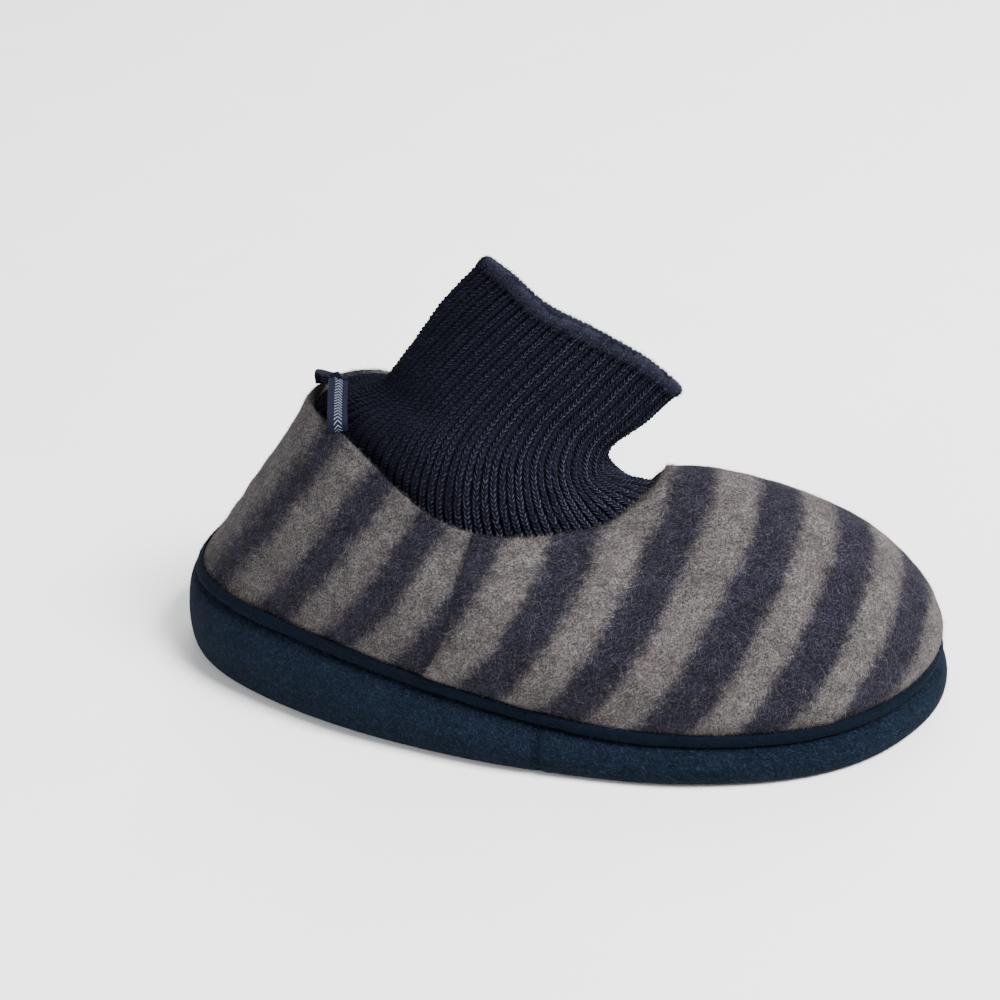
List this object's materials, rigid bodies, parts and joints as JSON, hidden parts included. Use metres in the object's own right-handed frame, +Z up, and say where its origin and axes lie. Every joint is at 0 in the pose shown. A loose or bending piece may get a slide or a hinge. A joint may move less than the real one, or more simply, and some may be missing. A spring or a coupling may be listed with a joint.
{
  "type": "slipper sock",
  "caption": "Child's slipper sock: striped wool upper on a padded fleece sole, with a slack ribbed knit cuff and a small hanging loop at the heel.",
  "frame": {"origin": "on the floor, under the middle of the whole slipper's bounding box", "axes": "+X towards the toe, +Z up, -Y the outer side of the right foot; the sole rests flat on Z = 0"},
  "size_m": [0.167, 0.0806, 0.0923],
  "materials": {
    "sole_fleece": "short-napped navy fleece, matte",
    "seam_fleece": "navy fleece strip, matte",
    "striped_wool": "brushed felted wool in slanting grey and navy stripes, matte",
    "insole_fleece": "dark fleece, matte",
    "ribbed_knit": "one by one ribbed navy wool knit, matte",
    "woven_tape": "narrow woven navy tape with small pale flecks"
  },
  "bodies": {
    "root": {"sole": "sole_fleece", "seam_roll": "seam_fleece", "upper": "striped_wool", "insole": "insole_fleece", "cuff": "ribbed_knit", "hang_loop": "woven_tape"}
  },
  "joints": []
}
